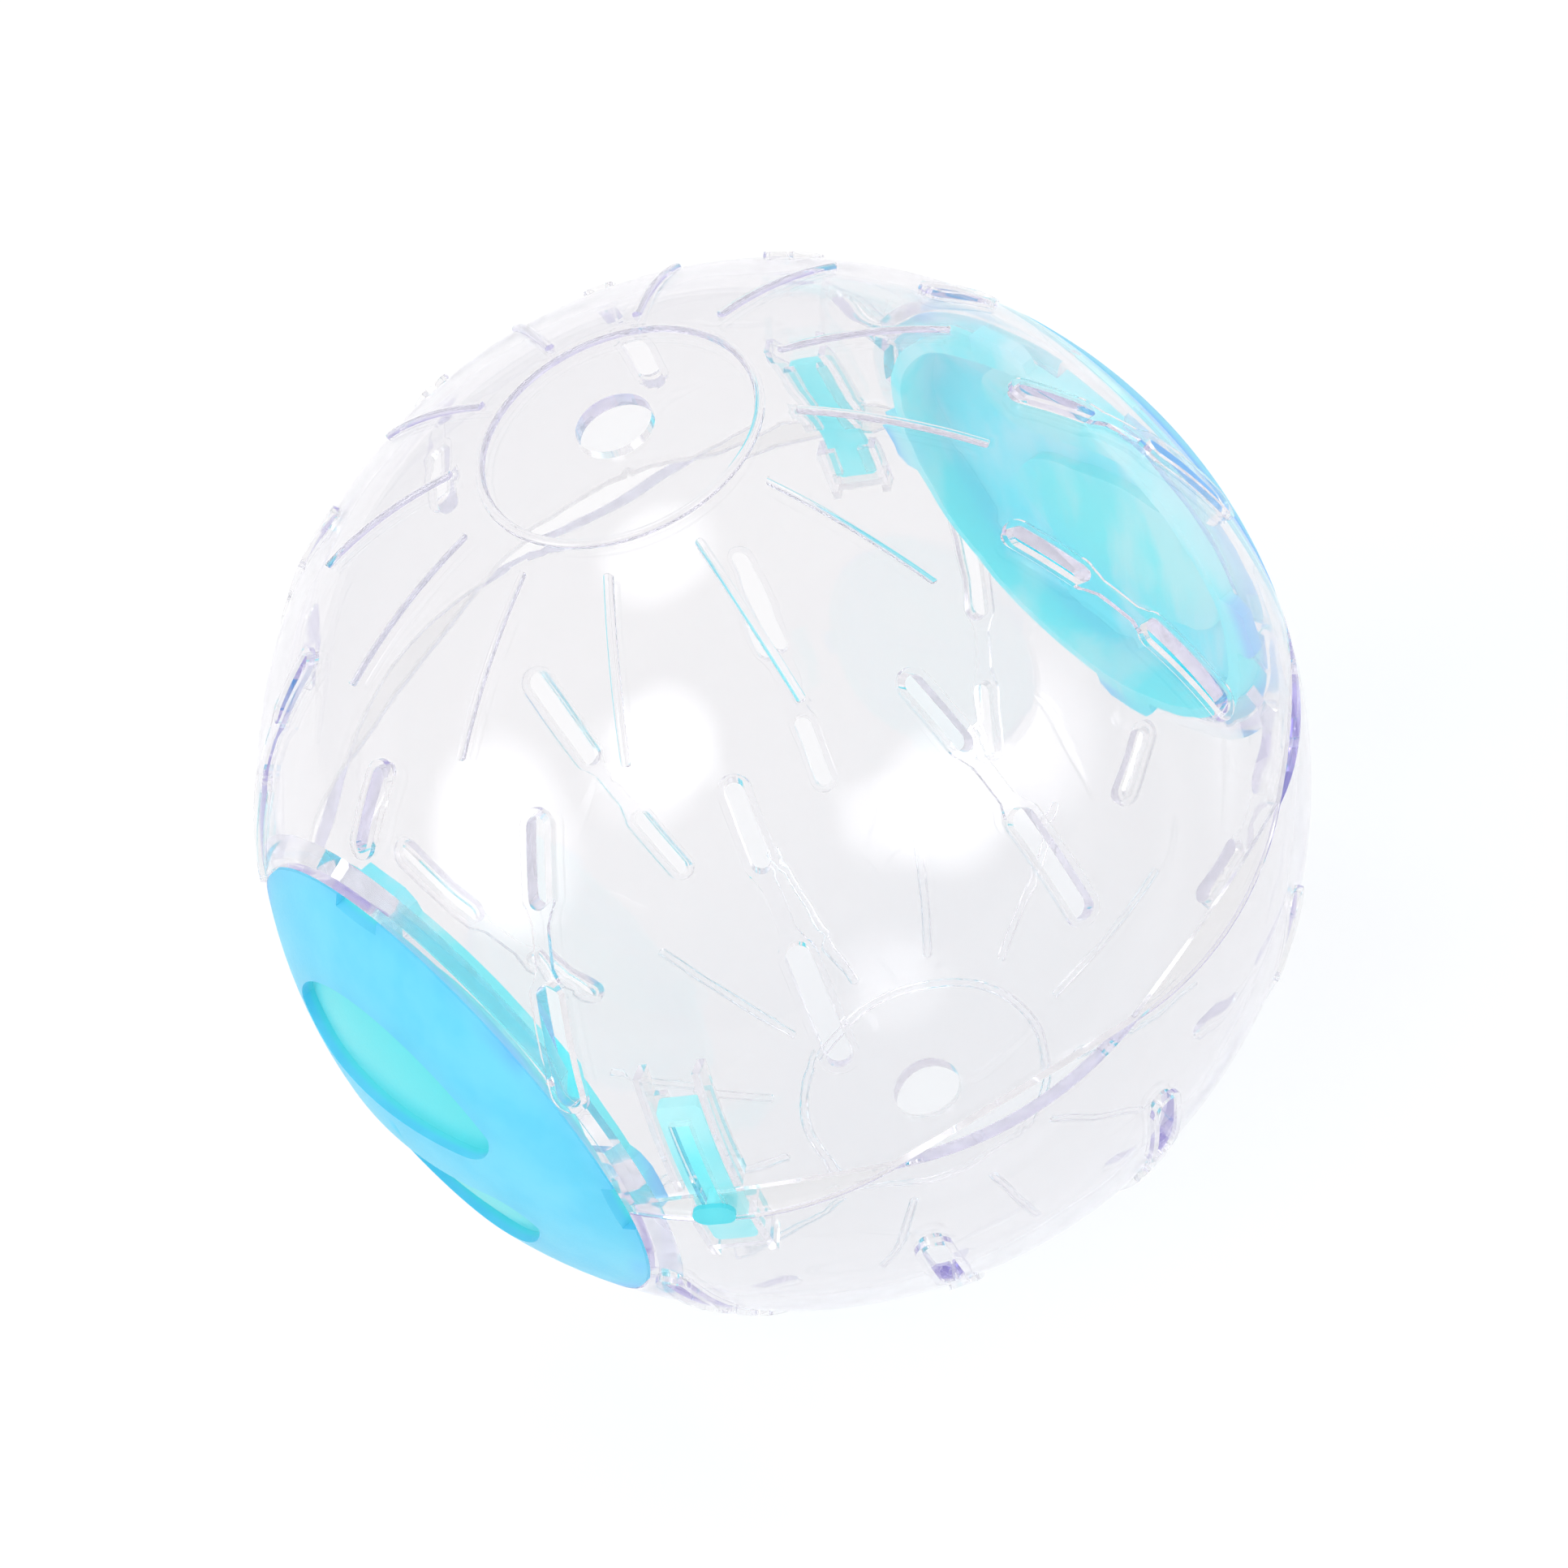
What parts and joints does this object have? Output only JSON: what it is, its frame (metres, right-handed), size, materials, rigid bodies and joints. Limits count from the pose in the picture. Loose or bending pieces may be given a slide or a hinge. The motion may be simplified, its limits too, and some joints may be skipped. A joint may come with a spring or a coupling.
{
  "type": "hamster ball",
  "caption": "Clear vented exercise ball for a hamster, in two half shells joined by sliding latches, with a twist-off blue lid on each side.",
  "frame": {"origin": "centre of the ball", "axes": "+Z along the pole bores towards the upper half shell, +X through the front lid"},
  "size_m": [0.14, 0.14, 0.1396],
  "materials": {
    "clear_shell": "clear polished polystyrene",
    "blue_lid": "translucent satin sky blue",
    "blue_latch": "translucent gloss sky blue"
  },
  "bodies": {
    "shells": {"upper_shell": "clear_shell", "lower_shell": "clear_shell"},
    "front_lid": {"front_lid": "blue_lid"},
    "rear_lid": {"rear_lid": "blue_lid"},
    "front_latch": {"front_latch": "blue_latch"},
    "rear_latch": {"rear_latch": "blue_latch"}
  },
  "joints": [
    {"name": "front_lid_twist", "type": "hinge", "parent": "shells", "child": "front_lid", "pos_m": [0, 0, 0], "axis": [1, 0, 0], "range_deg": [0, 25]},
    {"name": "rear_lid_twist", "type": "hinge", "parent": "shells", "child": "rear_lid", "pos_m": [0, 0, 0], "axis": [-1, 0, 0], "range_deg": [0, 25]},
    {"name": "front_latch_slide", "type": "hinge", "parent": "shells", "child": "front_latch", "pos_m": [0, 0, 0], "axis": [0.6561, -0.7547, 0], "range_deg": [0, 11]},
    {"name": "rear_latch_slide", "type": "hinge", "parent": "shells", "child": "rear_latch", "pos_m": [0, 0, 0], "axis": [-0.6561, 0.7547, 0], "range_deg": [0, 11]}
  ]
}
